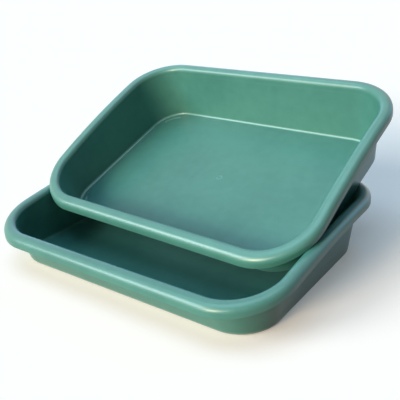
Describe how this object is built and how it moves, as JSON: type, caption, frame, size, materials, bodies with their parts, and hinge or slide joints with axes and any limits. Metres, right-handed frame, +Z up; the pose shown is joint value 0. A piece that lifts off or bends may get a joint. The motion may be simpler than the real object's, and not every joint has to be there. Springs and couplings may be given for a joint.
{
  "type": "potting soil tray",
  "caption": "Pair of rectangular moulded plastic trays with a low front, high back and rolled rim, for holding potting soil, the second tray resting askew on the first.",
  "frame": {"origin": "centre of the lower tray's underside, on the surface that it stands on", "axes": "+X along the trays' long side, -Y towards the low front edge, +Z up"},
  "size_m": [0.6021, 0.5293, 0.2807],
  "materials": {
    "moulded_plastic": "dark green polypropylene with a satin sheen"
  },
  "bodies": {
    "lower_tray": {"lower_tray": "moulded_plastic"},
    "upper_tray": {"upper_tray": "moulded_plastic"}
  },
  "joints": [
    {"name": "upper_tray_lift", "type": "slide", "parent": "lower_tray", "child": "upper_tray", "axis": [0, 0, 1], "range_m": [0, 0.15]}
  ]
}
